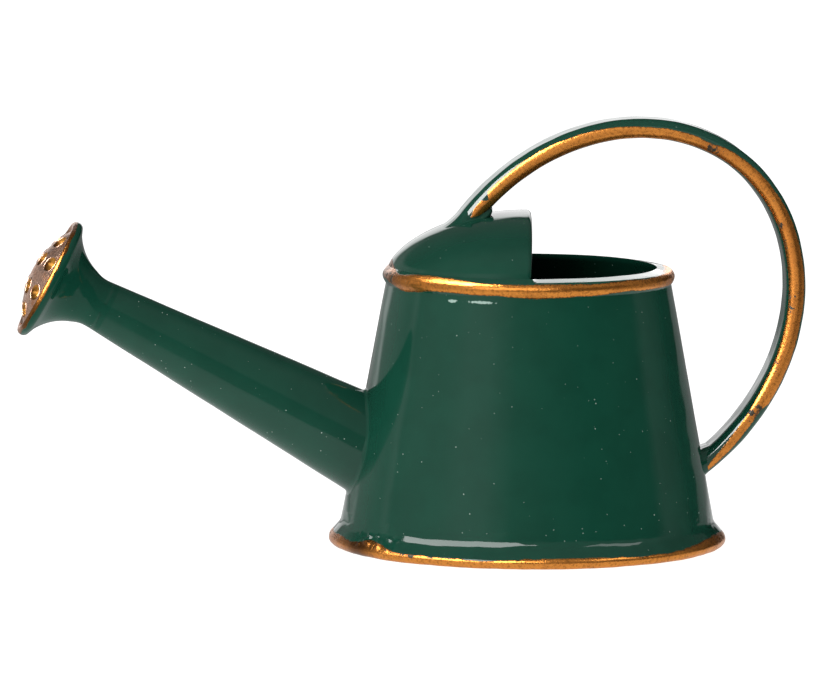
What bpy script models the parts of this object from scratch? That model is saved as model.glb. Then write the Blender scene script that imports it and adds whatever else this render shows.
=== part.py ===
"""Small painted-metal watering can, about 80 mm long, as an assembly of soldered pieces.

Metres, +Z up. The origin is on the body's axis, on the underside of the base plate.
The handle lies towards +X and the spout towards -X.
"""
import math

import bmesh
import bpy
from mathutils import Matrix, Vector

MM = 0.001

# Film of solder or lacquer between two pieces that touch.
JOINT_GAP = 0.1 * MM

# Tapered can body.
WALL_TOP_Z = 28.45 * MM
WALL_BASE_Z = 3.1 * MM
WALL_TOP_RADIUS = 14.25 * MM
WALL_SLOPE = 0.185
WALL_THICKNESS = 1.2 * MM
LIP_ROUNDING = 0.35 * MM

# Flared foot, and the plate that closes the can.
FOOT_HEIGHT = WALL_BASE_Z - JOINT_GAP
FOOT_RADIUS = 20.3 * MM
FOOT_CORNER_Z = 2.3 * MM
FOOT_EDGE_ROUNDING = 0.65 * MM
FOOT_EDGE_START = 41.0
FOOT_INNER_RADIUS = 17.6 * MM
BASE_THICKNESS = 1.0 * MM
BASE_FILLET = 1.1 * MM

# Half-round wire round the top of the wall.
BEAD_Z = 27.65 * MM
BEAD_HALF_HEIGHT = 0.8 * MM
BEAD_DEPTH = 0.42 * MM

# Hood over the front half of the mouth.
HOOD_BASE_Z = WALL_TOP_Z + JOINT_GAP
HOOD_RADIUS = 14.25 * MM
HOOD_HEIGHT = 5.45 * MM
HOOD_THICKNESS = 0.9 * MM
HOOD_OPENING_X = 0.25 * MM
HOOD_FRONT_POWERS = (2.2, 1.4)
HOOD_SIDE_POWERS = (2.3, 2.0)
HOOD_SEAM_HEIGHT = 0.9 * MM
HOOD_SEAM_DEPTH = 0.35 * MM

# Spout axis: it crosses the body's axis low down, and is soldered on a little off centre.
SPOUT_AXIS_Z = 1.39 * MM
SPOUT_RISE = 28.0
SPOUT_YAW = 4.0
SPOUT_START = 13.0 * MM
SPOUT_END = 49.4 * MM
SPOUT_END_RADIUS = 2.61 * MM
SPOUT_TAPER = 0.080
SPOUT_THICKNESS = 0.8 * MM
SPOUT_PORT_RADIUS = 4.2 * MM
SPOUT_PORT_SPAN = (8.0 * MM, 24.0 * MM)
ROOT_FILLET_LENGTH = 14.0 * MM
ROOT_FILLET_WIDTH = 0.55 * MM
ROOT_FILLET_REACH = 0.45 * MM

# Rose: a trumpet bell, a domed face with two rings of holes, and a rolled rim.
BELL_START = SPOUT_END + JOINT_GAP
BELL_FLARE_RADIUS = 5.7 * MM
BELL_THICKNESS = 0.55 * MM
BELL_OUTER_SWEEP = 67.0
BELL_INNER_SWEEP = 60.0
SPIGOT_LENGTH = 2.6 * MM
SPIGOT_BORE = 1.15 * MM
RIM_CENTRE = (5.95 * MM, 55.35 * MM)
RIM_WIRE_RADIUS = 0.45 * MM
FACE_RADIUS = 5.4 * MM
FACE_EDGE = (55.15 * MM, 55.65 * MM)
FACE_APEX = 57.25 * MM
FACE_THICKNESS = 1.2 * MM
ROSE_HOLE_RADIUS = 0.78 * MM
ROSE_HOLE_CUT = 6.0 * MM
ROSE_HOLE_RINGS = ((8, 4.2 * MM, 22.5), (4, 2.2 * MM, 45.0))

# Handle: a flat strap bent to part of an ellipse whose long axis leans back, in line with the spout.
HANDLE_CENTRE = (8.06 * MM, 23.1 * MM)
HANDLE_LONG_RADIUS = 20.95 * MM
HANDLE_SHORT_RADIUS = 17.65 * MM
HANDLE_LEAN = 48.2
HANDLE_YAW = 4.0
HANDLE_START = -106.0
HANDLE_END = 98.0
HANDLE_THICKNESS = 2.0 * MM
HANDLE_WIDTH = 5.2 * MM
HANDLE_ROUNDING = 0.35 * MM

# Solder left round the two ends of the handle: centre, half sizes, and lean about Y.
FRONT_SOLDER = ((-6.3 * MM, 0.0, 32.65 * MM), (3.5 * MM, 3.9 * MM, 1.35 * MM), -14.0)
REAR_SOLDER = ((17.92 * MM, 0.0, 8.2 * MM), (1.0 * MM, 3.8 * MM, 3.0 * MM), -10.5)

ROUND_STEPS = 64
SMALL_STEPS = 40

GREEN_LACQUER = ("green_lacquer", (0.021, 0.067, 0.045), 0.12, 0.0)
DARK_LACQUER = ("dark_lacquer", (0.012, 0.036, 0.025), 0.25, 0.0)
GOLD_PAINT = ("gold_paint", (0.42, 0.20, 0.055), 0.3, 0.85)
ROSE_GOLD_PAINT = ("rose_gold_paint", (0.36, 0.18, 0.09), 0.32, 0.85)

PARTS_NAME = "watering_can"
CUTTERS_NAME = "watering_can_cutters"


def clear_scene():
    for item in list(bpy.data.objects):
        bpy.data.objects.remove(item, do_unlink=True)


def new_collection(name):
    collection = bpy.data.collections.new(name)
    bpy.context.scene.collection.children.link(collection)
    return collection


def make_material(spec):
    name, colour, roughness, metallic = spec
    material = bpy.data.materials.new(name)
    material.use_nodes = True
    shader = material.node_tree.nodes["Principled BSDF"]
    shader.inputs["Base Color"].default_value = (*colour, 1.0)
    shader.inputs["Roughness"].default_value = roughness
    shader.inputs["Metallic"].default_value = metallic
    return material


def wall_radius(z):
    """Outer radius of the tapered wall at height z."""
    return WALL_TOP_RADIUS + WALL_SLOPE * (WALL_TOP_Z - z)


def spout_radius(t):
    """Outer radius of the spout at distance t along its axis."""
    return SPOUT_END_RADIUS + SPOUT_TAPER * (SPOUT_END - t)


def arc(centre, radius, start, end, count):
    """Points on an arc in a profile: angles in degrees, 0 along +r and 90 along +z."""
    points = []
    for i in range(count):
        angle = math.radians(start + (end - start) * i / (count - 1))
        points.append((centre[0] + radius * math.cos(angle), centre[1] + radius * math.sin(angle)))
    return points


def add_mesh_object(name, mesh, collection, material=None):
    item = bpy.data.objects.new(name, mesh)
    collection.objects.link(item)
    if material is not None:
        mesh.materials.clear()
        mesh.materials.append(material)
    return item


def finish_bmesh(name, bm, collection, material=None):
    bmesh.ops.recalc_face_normals(bm, faces=bm.faces)
    mesh = bpy.data.meshes.new(name)
    bm.to_mesh(mesh)
    bm.free()
    return add_mesh_object(name, mesh, collection, material)


def turned(name, profile, collection, material, steps=ROUND_STEPS, ring=True):
    """Screws a profile about Z. A ring's profile is closed; a disc's starts and ends on the axis."""
    bm = bmesh.new()
    verts = [bm.verts.new((r, 0.0, z)) for r, z in profile]
    for first, second in zip(verts, verts[1:]):
        bm.edges.new((first, second))
    if ring:
        bm.edges.new((verts[-1], verts[0]))
    mesh = bpy.data.meshes.new(name)
    bm.to_mesh(mesh)
    bm.free()
    item = add_mesh_object(name, mesh, collection, material)
    screw = item.modifiers.new("turn", "SCREW")
    screw.axis = "Z"
    screw.steps = steps
    screw.render_steps = steps
    screw.use_merge_vertices = True
    screw.merge_threshold = 0.00001
    screw.use_smooth_shade = True
    return item


def as_cutter(item):
    item.hide_render = True
    item.display_type = "WIRE"
    return item


def cut(item, cutter):
    boolean = item.modifiers.new("cut " + cutter.name, "BOOLEAN")
    boolean.operation = "DIFFERENCE"
    boolean.solver = "EXACT"
    boolean.object = cutter


def keep_common(item, cutter):
    boolean = item.modifiers.new("keep " + cutter.name, "BOOLEAN")
    boolean.operation = "INTERSECT"
    boolean.solver = "EXACT"
    boolean.object = cutter


def make_wall(parts, material):
    """Tapered wall with a rounded lip, open at both ends."""
    centre_z = WALL_TOP_Z - LIP_ROUNDING
    lip_outer = wall_radius(centre_z)
    lip_inner = lip_outer - WALL_THICKNESS
    profile = arc((lip_outer - LIP_ROUNDING, centre_z), LIP_ROUNDING, 90.0, 10.0, 4)
    profile.append((wall_radius(WALL_BASE_Z), WALL_BASE_Z))
    profile.append((wall_radius(WALL_BASE_Z) - WALL_THICKNESS, WALL_BASE_Z))
    profile += arc((lip_inner + LIP_ROUNDING, centre_z), LIP_ROUNDING, 170.0, 90.0, 4)
    return turned("body_wall", profile, parts, material)


def make_foot(parts, material):
    """Ring that the wall stands on: the wall's cone, then a ledge out to a rounded edge."""
    edge_centre = (FOOT_RADIUS - FOOT_EDGE_ROUNDING, FOOT_EDGE_ROUNDING)
    profile = [
        (wall_radius(FOOT_HEIGHT), FOOT_HEIGHT),
        (wall_radius(FOOT_CORNER_Z), FOOT_CORNER_Z),
    ]
    profile += arc(edge_centre, FOOT_EDGE_ROUNDING, FOOT_EDGE_START, -90.0, 8)
    profile.append((FOOT_INNER_RADIUS, 0.0))
    profile.append((FOOT_INNER_RADIUS, FOOT_HEIGHT))
    return turned("foot_ring", profile, parts, material)


def make_base(parts, material):
    radius = FOOT_INNER_RADIUS - JOINT_GAP
    profile = [(0.0, BASE_THICKNESS), (radius, BASE_THICKNESS), (radius, 0.0), (0.0, 0.0)]
    return turned("base_plate", profile, parts, material, ring=False)


def make_base_seam(parts, material):
    """Solder fillet inside, where the base plate meets the foot ring."""
    outer = FOOT_INNER_RADIUS - JOINT_GAP
    low = BASE_THICKNESS + JOINT_GAP
    centre = (outer - BASE_FILLET, low + BASE_FILLET)
    profile = [(outer, low)]
    profile += arc(centre, BASE_FILLET, -90.0, 0.0, 5)
    return turned("base_seam_solder", profile, parts, material)


def make_bead(parts, material):
    """Half-round wire soldered round the wall just under the lip."""
    profile = []
    count = 9
    for i in range(count):
        angle = math.radians(90.0 - 180.0 * i / (count - 1))
        z = BEAD_Z + BEAD_HALF_HEIGHT * math.sin(angle)
        radius = wall_radius(z) + JOINT_GAP + BEAD_DEPTH * math.cos(angle)
        profile.append((radius, z))
    return turned("rim_bead", profile, parts, material)


def dome_height(share, side):
    """Height share of the hood at a radius share. side is 0 at the front and 1 at the sides."""
    spread = HOOD_FRONT_POWERS[0] + (HOOD_SIDE_POWERS[0] - HOOD_FRONT_POWERS[0]) * side
    crown = HOOD_FRONT_POWERS[1] + (HOOD_SIDE_POWERS[1] - HOOD_FRONT_POWERS[1]) * side
    return max(0.0, 1.0 - min(1.0, share) ** spread) ** (1.0 / crown)


def make_dome(name, radius, height, base_z, front_x, collection, material=None):
    """Solid half dome over the front of the mouth, from a sphere that is reshaped and cut."""
    bm = bmesh.new()
    bmesh.ops.create_uvsphere(bm, u_segments=48, v_segments=22, radius=1.0)
    for vert in bm.verts:
        share = math.hypot(vert.co.x, vert.co.y)
        side = 1.0
        if share > 1e-6:
            side = (vert.co.y / share) ** 2
        lift = math.copysign(dome_height(share, side), vert.co.z)
        if abs(vert.co.z) < 1e-6:
            lift = 0.0
        vert.co = Vector((vert.co.x * radius, vert.co.y * radius, lift * height))
    planes = (((0.0, 0.0, 0.0), (0.0, 0.0, -1.0)), ((front_x, 0.0, 0.0), (1.0, 0.0, 0.0)))
    for point, normal in planes:
        geometry = bm.verts[:] + bm.edges[:] + bm.faces[:]
        result = bmesh.ops.bisect_plane(
            bm, geom=geometry, dist=1e-8, plane_co=point, plane_no=normal, clear_outer=True
        )
        rim = [e for e in result["geom_cut"] if isinstance(e, bmesh.types.BMEdge)]
        bmesh.ops.edgeloop_fill(bm, edges=rim)
    bmesh.ops.translate(bm, vec=(0.0, 0.0, base_z), verts=bm.verts)
    return finish_bmesh(name, bm, collection, material)


def make_hood(parts, cutters, material):
    """Half dome shell, open behind and below."""
    size = (HOOD_RADIUS, HOOD_HEIGHT, HOOD_BASE_Z, HOOD_OPENING_X)
    hood = make_dome("hood", *size, parts, material)
    reach = 1.0 * MM
    inside = as_cutter(
        make_dome(
            "hood_inside",
            HOOD_RADIUS - HOOD_THICKNESS,
            HOOD_HEIGHT - HOOD_THICKNESS + reach,
            HOOD_BASE_Z - reach,
            HOOD_OPENING_X + reach,
            cutters,
        )
    )
    cut(hood, inside)


def make_hood_seam(parts, cutters, material):
    """Thin solder fillet under the hood, inside the lip."""
    outer = wall_radius(WALL_TOP_Z) - WALL_THICKNESS - 2 * JOINT_GAP
    top = WALL_TOP_Z - LIP_ROUNDING
    profile = [
        (outer, top),
        (outer, top - HOOD_SEAM_HEIGHT),
        (outer - HOOD_SEAM_DEPTH, top - HOOD_SEAM_HEIGHT / 3),
    ]
    seam = turned("hood_seam_solder", profile, parts, material)
    bm = bmesh.new()
    size = 4 * HOOD_RADIUS
    place = Matrix.Translation((HOOD_OPENING_X - size / 2, 0.0, WALL_TOP_Z))
    bmesh.ops.create_cube(bm, size=size, matrix=place)
    keep_common(seam, as_cutter(finish_bmesh("front_half", bm, cutters)))
    return seam


def spout_frame():
    """Empty whose Z axis is the spout's axis."""
    frame = bpy.data.objects.new("spout_axis", None)
    bpy.context.scene.collection.objects.link(frame)
    frame.location = (0.0, 0.0, SPOUT_AXIS_Z)
    frame.rotation_euler = (0.0, math.radians(SPOUT_RISE - 90.0), math.radians(SPOUT_YAW))
    frame.empty_display_size = 10 * MM
    return frame


def make_spout(parts, material, frame):
    start, end = SPOUT_START, SPOUT_END
    profile = [
        (spout_radius(end), end),
        (spout_radius(start), start),
        (spout_radius(start) - SPOUT_THICKNESS, start),
        (spout_radius(end) - SPOUT_THICKNESS, end),
    ]
    spout = turned("spout_tube", profile, parts, material, steps=SMALL_STEPS)
    spout.parent = frame
    return spout


def make_root_solder(parts, cutters, material, frame, wall_envelope):
    """Fillet of solder round the spout's root, following the wall it lands on."""
    start = SPOUT_START
    end = SPOUT_START + ROOT_FILLET_LENGTH
    inner = JOINT_GAP
    outer = JOINT_GAP + ROOT_FILLET_WIDTH
    profile = [
        (spout_radius(end) + outer, end),
        (spout_radius(start) + outer, start),
        (spout_radius(start) + inner, start),
        (spout_radius(end) + inner, end),
    ]
    solder = turned("spout_root_solder", profile, parts, material, steps=SMALL_STEPS)
    solder.parent = frame
    reach = make_wall_solid("root_fillet_reach", JOINT_GAP + ROOT_FILLET_REACH, cutters)
    keep_common(solder, reach)
    cut(solder, wall_envelope)
    return solder


def make_bell(parts, material, frame):
    """Trumpet bell whose thin spigot slides into the end of the spout."""
    centre = (SPOUT_END_RADIUS + BELL_FLARE_RADIUS, BELL_START)
    neck_bore = SPOUT_END_RADIUS - SPOUT_THICKNESS - JOINT_GAP
    outer = arc(centre, BELL_FLARE_RADIUS, 180.0 - BELL_OUTER_SWEEP, 180.0, 11)
    inner_radius = BELL_FLARE_RADIUS + BELL_THICKNESS
    inner = arc(centre, inner_radius, 172.0, 180.0 - BELL_INNER_SWEEP, 9)
    spigot_end = BELL_START - SPIGOT_LENGTH
    profile = outer
    profile.append((neck_bore, BELL_START))
    profile.append((neck_bore, spigot_end))
    profile.append((SPIGOT_BORE, spigot_end))
    profile.append((SPIGOT_BORE, BELL_START))
    profile += inner
    bell = turned("rose_bell", profile, parts, material, steps=SMALL_STEPS)
    bell.parent = frame
    return bell


def make_rose_rim(parts, material, frame):
    profile = arc(RIM_CENTRE, RIM_WIRE_RADIUS, 90.0, -225.0, 8)
    rim = turned("rose_rim", profile, parts, material, steps=SMALL_STEPS)
    rim.parent = frame
    return rim


def dome_profile(edge_z, apex_z, count):
    """Points of a shallow dome from the axis out to its edge."""
    rise = apex_z - edge_z
    ball = (FACE_RADIUS ** 2 + rise ** 2) / (2 * rise)
    points = []
    for i in range(count):
        radius = FACE_RADIUS * i / (count - 1)
        points.append((radius, apex_z - ball + math.sqrt(ball ** 2 - radius ** 2)))
    return points


def make_rose_face(parts, cutters, material, frame):
    """Domed face with two rings of spray holes."""
    inner_edge, outer_edge = FACE_EDGE
    profile = dome_profile(outer_edge, FACE_APEX, 6)
    profile += reversed(dome_profile(inner_edge, FACE_APEX - FACE_THICKNESS, 6))
    face = turned("rose_face", profile, parts, material, steps=SMALL_STEPS, ring=False)
    face.parent = frame
    bm = bmesh.new()
    for count, ring_radius, turn in ROSE_HOLE_RINGS:
        for i in range(count):
            angle = math.radians(turn + 360.0 * i / count)
            x = ring_radius * math.cos(angle)
            y = ring_radius * math.sin(angle)
            bmesh.ops.create_cone(
                bm,
                cap_ends=True,
                segments=12,
                radius1=ROSE_HOLE_RADIUS,
                radius2=ROSE_HOLE_RADIUS,
                depth=ROSE_HOLE_CUT,
                matrix=Matrix.Translation((x, y, FACE_APEX)),
            )
    holes = as_cutter(finish_bmesh("rose_holes", bm, cutters))
    holes.parent = frame
    cut(face, holes)
    return face


def handle_point(angle, offset):
    """Point of the strap's side view, offset outwards from its centre line."""
    lean = math.radians(HANDLE_LEAN)
    turn = math.radians(angle)
    along = Vector((HANDLE_LONG_RADIUS * math.cos(turn), HANDLE_SHORT_RADIUS * math.sin(turn)))
    outward = Vector((HANDLE_SHORT_RADIUS * math.cos(turn), HANDLE_LONG_RADIUS * math.sin(turn)))
    along += outward.normalized() * offset
    x = HANDLE_CENTRE[0] + along.x * math.cos(lean) - along.y * math.sin(lean)
    z = HANDLE_CENTRE[1] + along.x * math.sin(lean) + along.y * math.cos(lean)
    return x, z


def make_strap(name, thickness, width, collection, material=None, count=56):
    """Bent strap as a flat outline, extruded to its width."""
    angles = [HANDLE_START + (HANDLE_END - HANDLE_START) * i / (count - 1) for i in range(count)]
    outline = [handle_point(a, thickness / 2) for a in angles]
    outline += [handle_point(a, -thickness / 2) for a in reversed(angles)]
    curve = bpy.data.curves.new(name + "_outline", "CURVE")
    curve.dimensions = "2D"
    curve.fill_mode = "BOTH"
    curve.extrude = width / 2
    curve.render_resolution_u = 0
    spline = curve.splines.new("POLY")
    spline.points.add(len(outline) - 1)
    for point, (x, z) in zip(spline.points, outline):
        point.co = (x, z, 0.0, 1.0)
    spline.use_cyclic_u = True
    guide = bpy.data.objects.new(name + "_outline", curve)
    collection.objects.link(guide)
    guide.rotation_euler = (math.radians(90.0), 0.0, math.radians(HANDLE_YAW))
    bpy.context.view_layer.update()
    evaluated = guide.evaluated_get(bpy.context.evaluated_depsgraph_get())
    mesh = bpy.data.meshes.new_from_object(evaluated)
    bm = bmesh.new()
    bm.from_mesh(mesh)
    bmesh.ops.remove_doubles(bm, verts=bm.verts, dist=0.000001)
    bmesh.ops.dissolve_limit(bm, angle_limit=math.radians(0.5), verts=bm.verts, edges=bm.edges)
    bmesh.ops.recalc_face_normals(bm, faces=bm.faces)
    bm.to_mesh(mesh)
    bm.free()
    strap = add_mesh_object(name, mesh, collection, material)
    strap.matrix_world = guide.matrix_world
    bpy.data.objects.remove(guide)
    return strap


def make_handle(parts, material, envelopes):
    strap = make_strap("handle_strap", HANDLE_THICKNESS, HANDLE_WIDTH, parts, material)
    bevel = strap.modifiers.new("rounded edges", "BEVEL")
    bevel.width = HANDLE_ROUNDING
    bevel.segments = 2
    bevel.limit_method = "ANGLE"
    bevel.angle_limit = math.radians(60.0)
    for envelope in envelopes:
        cut(strap, envelope)
    return strap


def make_solder(name, place, parts, material, envelopes):
    """Blob of solder round one end of the handle, cut to fit the pieces it joins."""
    centre, half_sizes, lean = place
    bm = bmesh.new()
    bmesh.ops.create_uvsphere(bm, u_segments=24, v_segments=12, radius=1.0)
    turn = Matrix.Rotation(math.radians(lean), 3, "Y").to_quaternion()
    shape = Matrix.LocRotScale(centre, turn, half_sizes)
    yaw = Matrix.Rotation(math.radians(HANDLE_YAW), 4, "Z")
    bmesh.ops.transform(bm, matrix=yaw @ shape, verts=bm.verts)
    solder = finish_bmesh(name, bm, parts, material)
    for envelope in envelopes:
        cut(solder, envelope)
    return solder


def make_wall_solid(name, offset, cutters):
    """Solid cone of the wall's outside, grown by offset, used as a cutter."""
    top = WALL_TOP_Z + offset
    bottom = -1.0 * MM
    profile = [
        (0.0, top),
        (wall_radius(top) + offset, top),
        (wall_radius(bottom) + offset, bottom),
        (0.0, bottom),
    ]
    return as_cutter(turned(name, profile, cutters, None, steps=ROUND_STEPS, ring=False))


def make_port(wall, cutters, frame):
    """Hole through the wall into the spout."""
    start, end = SPOUT_PORT_SPAN
    profile = [(0.0, end), (SPOUT_PORT_RADIUS, end), (SPOUT_PORT_RADIUS, start), (0.0, start)]
    port = as_cutter(turned("spout_port", profile, cutters, None, steps=SMALL_STEPS, ring=False))
    port.parent = frame
    cut(wall, port)


def main():
    clear_scene()
    parts = new_collection(PARTS_NAME)
    cutters = new_collection(CUTTERS_NAME)
    green = make_material(GREEN_LACQUER)
    dark = make_material(DARK_LACQUER)
    gold = make_material(GOLD_PAINT)
    rose_gold = make_material(ROSE_GOLD_PAINT)

    wall = make_wall(parts, green)
    make_foot(parts, gold)
    make_base(parts, dark)
    make_base_seam(parts, dark)
    make_bead(parts, gold)
    make_hood(parts, cutters, green)
    make_hood_seam(parts, cutters, dark)

    frame = spout_frame()
    wall_envelope = make_wall_solid("wall_envelope", JOINT_GAP, cutters)
    hood_envelope = as_cutter(
        make_dome(
            "hood_envelope",
            HOOD_RADIUS + JOINT_GAP,
            HOOD_HEIGHT + JOINT_GAP,
            HOOD_BASE_Z,
            HOOD_OPENING_X + JOINT_GAP,
            cutters,
        )
    )
    spout = make_spout(parts, green, frame)
    cut(spout, wall_envelope)
    make_port(wall, cutters, frame)
    make_root_solder(parts, cutters, green, frame, wall_envelope)

    make_bell(parts, green, frame)
    make_rose_rim(parts, rose_gold, frame)
    make_rose_face(parts, cutters, rose_gold, frame)

    strap_envelope = as_cutter(
        make_strap(
            "strap_envelope",
            HANDLE_THICKNESS + 2 * JOINT_GAP,
            HANDLE_WIDTH + 2 * JOINT_GAP,
            cutters,
        )
    )
    make_handle(parts, gold, (wall_envelope, hood_envelope))
    make_solder("handle_front_solder", FRONT_SOLDER, parts, green, (hood_envelope, strap_envelope))
    make_solder("handle_rear_solder", REAR_SOLDER, parts, green, (wall_envelope, strap_envelope))


main()
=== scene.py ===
"""Looks of a small painted-metal watering can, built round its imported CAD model.

Lengths below are in millimetres unless a name says otherwise, and are turned into metres
when a mesh is made. Z is up, the handle lies towards +X and the spout towards -X.
"""
import math

import bmesh
import bpy
import numpy as np
from mathutils import Matrix, Vector, noise


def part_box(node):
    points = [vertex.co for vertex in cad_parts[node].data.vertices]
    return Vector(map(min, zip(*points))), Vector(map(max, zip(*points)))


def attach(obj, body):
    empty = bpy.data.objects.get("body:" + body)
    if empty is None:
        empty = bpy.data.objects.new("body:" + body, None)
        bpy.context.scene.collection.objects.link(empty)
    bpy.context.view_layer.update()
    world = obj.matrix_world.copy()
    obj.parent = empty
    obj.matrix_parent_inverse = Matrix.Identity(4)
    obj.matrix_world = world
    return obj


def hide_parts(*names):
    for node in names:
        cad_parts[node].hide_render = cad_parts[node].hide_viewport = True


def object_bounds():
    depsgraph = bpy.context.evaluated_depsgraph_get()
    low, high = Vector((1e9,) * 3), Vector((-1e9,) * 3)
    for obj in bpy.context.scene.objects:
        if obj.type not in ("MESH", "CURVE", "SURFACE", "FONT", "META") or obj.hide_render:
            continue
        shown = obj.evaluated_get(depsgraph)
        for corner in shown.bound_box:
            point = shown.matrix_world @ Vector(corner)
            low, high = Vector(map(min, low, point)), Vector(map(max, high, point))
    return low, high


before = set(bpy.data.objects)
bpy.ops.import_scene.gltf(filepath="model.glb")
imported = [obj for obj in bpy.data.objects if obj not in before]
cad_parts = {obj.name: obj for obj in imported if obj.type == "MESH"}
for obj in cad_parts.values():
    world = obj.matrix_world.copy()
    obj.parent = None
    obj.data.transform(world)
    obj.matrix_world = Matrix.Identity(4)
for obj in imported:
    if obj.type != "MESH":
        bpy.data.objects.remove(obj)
cad_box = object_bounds()
MM = 0.001


def node_box(name):
    """Lowest and highest corners of a CAD node in millimetres."""
    low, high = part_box(name)
    return low / MM, high / MM


# ---- sizes, the outer ones read from the CAD model
WALL_LOW, WALL_HIGH = node_box("body_wall")
FOOT_LOW, FOOT_HIGH = node_box("foot_ring")
BEAD_LOW, BEAD_HIGH = node_box("rim_bead")
HOOD_LOW, HOOD_HIGH = node_box("hood")
BASE_LOW, BASE_HIGH = node_box("base_plate")

WALL_TOP_Z = WALL_HIGH.z
WALL_BASE_Z = WALL_LOW.z
WALL_TOP_RADIUS = HOOD_HIGH.y
WALL_SLOPE = (WALL_HIGH.x - WALL_TOP_RADIUS) / (WALL_TOP_Z - WALL_BASE_Z)
WALL_THICKNESS = 1.2
LIP_ROUNDING = 0.10
LIP_SLOPE = 0.17
FOOT_RADIUS = FOOT_HIGH.x
FOOT_INNER_RADIUS = BASE_HIGH.x + 0.1
FOOT_CORNER_Z = 2.3
FOOT_CORNER_RADIUS = 0.45
FOOT_EDGE_RADIUS = 0.62
BEAD_TOP_Z = BEAD_HIGH.z
BEAD_BASE_Z = BEAD_LOW.z
BEAD_RADIUS = BEAD_HIGH.x

HOOD_BASE_Z = HOOD_LOW.z
HOOD_RADIUS = HOOD_HIGH.y
HOOD_HEIGHT = HOOD_HIGH.z - HOOD_LOW.z
HOOD_OPENING_X = HOOD_HIGH.x
HOOD_THICKNESS = 0.9
HOOD_FRONT_POWERS = (2.2, 1.4)
HOOD_SIDE_POWERS = (2.3, 2.0)
HOOD_EDGE_ROUNDING = 0.45
HOOD_OPENING_LEAN = 0.22

SPOUT_AXIS_Z = 1.39
SPOUT_RISE = 28.0
SPOUT_YAW = 4.0
SPOUT_START = 14.0
SPOUT_END = 49.4
SPOUT_END_RADIUS = 2.61
SPOUT_TAPER = 0.080
SPOUT_THICKNESS = 0.8
PORT_RADIUS = 4.2
BELL_FLARE_RADIUS = 5.7
BELL_THICKNESS = 0.55
BELL_LIP_CENTRE = (5.80, 55.25)
BELL_LIP_RADIUS = 0.62
RIM_CENTRE = (5.95, 55.35)
RIM_WIRE_RADIUS = 0.45
FACE_RADIUS = 5.5
FACE_EDGE = 55.4
FACE_APEX = 57.25
FACE_THICKNESS = 1.3
HOLE_RADIUS = 0.84
HOLE_DEPTH = 0.85
HOLE_BORE = 0.25
HOLE_RINGS = ((8, 4.2, 22.5), (4, 2.2, 45.0))

HANDLE_CENTRE = (8.06, 23.1)
HANDLE_LONG_RADIUS = 20.95
HANDLE_SHORT_RADIUS = 17.65
HANDLE_LEAN = 48.2
HANDLE_YAW = 4.0
HANDLE_START = -108.0
HANDLE_END = 100.0
HANDLE_THICKNESS = 2.0
HANDLE_WIDTH = 5.2
HANDLE_CORNER = 0.98

ROUND_STEPS = 288
SMALL_STEPS = 128


# ---- mesh helpers
def add_object(name, data):
    item = bpy.data.objects.new(name, data)
    bpy.context.scene.collection.objects.link(item)
    return item


def make_object(name, vertices, faces, smooth_angle=40.0):
    """Object from points in millimetres, with its faces pointing out."""
    mesh = bpy.data.meshes.new(name)
    mesh.from_pydata([tuple(v) for v in np.asarray(vertices) * MM], [], faces)
    bm = bmesh.new()
    bm.from_mesh(mesh)
    bmesh.ops.remove_doubles(bm, verts=bm.verts, dist=1e-7)
    bmesh.ops.recalc_face_normals(bm, faces=bm.faces)
    bm.to_mesh(mesh)
    bm.free()
    item = add_object(name, mesh)
    smooth(item, smooth_angle)
    return item


def smooth(item, angle):
    item.data.shade_smooth()
    item.data.set_sharp_from_angle(angle=math.radians(angle))


def grid_faces(rows, columns, wrap_rows, wrap_columns):
    faces = []
    for i in range(rows if wrap_rows else rows - 1):
        here = i * columns
        there = (i + 1) % rows * columns
        for j in range(columns if wrap_columns else columns - 1):
            beside = (j + 1) % columns
            faces.append((here + j, here + beside, there + beside, there + j))
    return faces


def grid_object(name, grid, wrap_rows, wrap_columns, cap_ends=False, smooth_angle=40.0):
    """Object from a grid of points; cap_ends closes the first and the last row."""
    rows, columns = grid.shape[:2]
    faces = grid_faces(rows, columns, wrap_rows, wrap_columns)
    if cap_ends:
        faces.append(tuple(range(columns)))
        faces.append(tuple(range((rows - 1) * columns, rows * columns)))
    return make_object(name, grid.reshape(-1, 3), faces, smooth_angle)


def arc(centre, radius, start, end, count):
    """Points on an arc in a profile: angles in degrees, 0 along +r and 90 along +z."""
    angles = np.radians(np.linspace(start, end, count))
    return [(centre[0] + radius * math.cos(a), centre[1] + radius * math.sin(a)) for a in angles]


def bend(start, corner, end, share):
    """Point at a share of the way along a smooth bend from start to end."""
    return start * (1 - share) ** 2 + corner * 2 * share * (1 - share) + end * share ** 2


def dense(points, step, closed=False):
    """The same outline with its long stretches split into steps."""
    result = []
    pairs = list(zip(points, points[1:] + points[:1])) if closed else list(zip(points, points[1:]))
    for a, b in pairs:
        count = max(1, math.ceil(math.dist(a, b) / step))
        for i in range(count):
            share = i / count
            result.append(tuple(p + (q - p) * share for p, q in zip(a, b)))
    if not closed:
        result.append(points[-1])
    return result


def circle(radius, z, angles):
    """Points round the Z axis."""
    return np.stack([radius * np.cos(angles), radius * np.sin(angles), z + 0 * angles], axis=-1)


def turned(name, profile, steps, place=None, closed=True):
    """Turns a profile of (r, z) about Z. A closed profile gives a ring, an open one a disc."""
    angles = np.linspace(0.0, 2 * math.pi, steps, endpoint=False)
    radii, heights = np.array(profile).T[:, :, None]
    item = grid_object(name, circle(radii, heights, angles), closed, True)
    if place is not None:
        item.data.transform(place)
    return item


def in_metres(place):
    return Matrix.Translation(place.to_translation() * MM) @ place.to_3x3().to_4x4()


def moved(matrix, points):
    """Points moved by a matrix."""
    rows = np.array(matrix)
    return points @ rows[:3, :3].T + rows[:3, 3]


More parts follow.
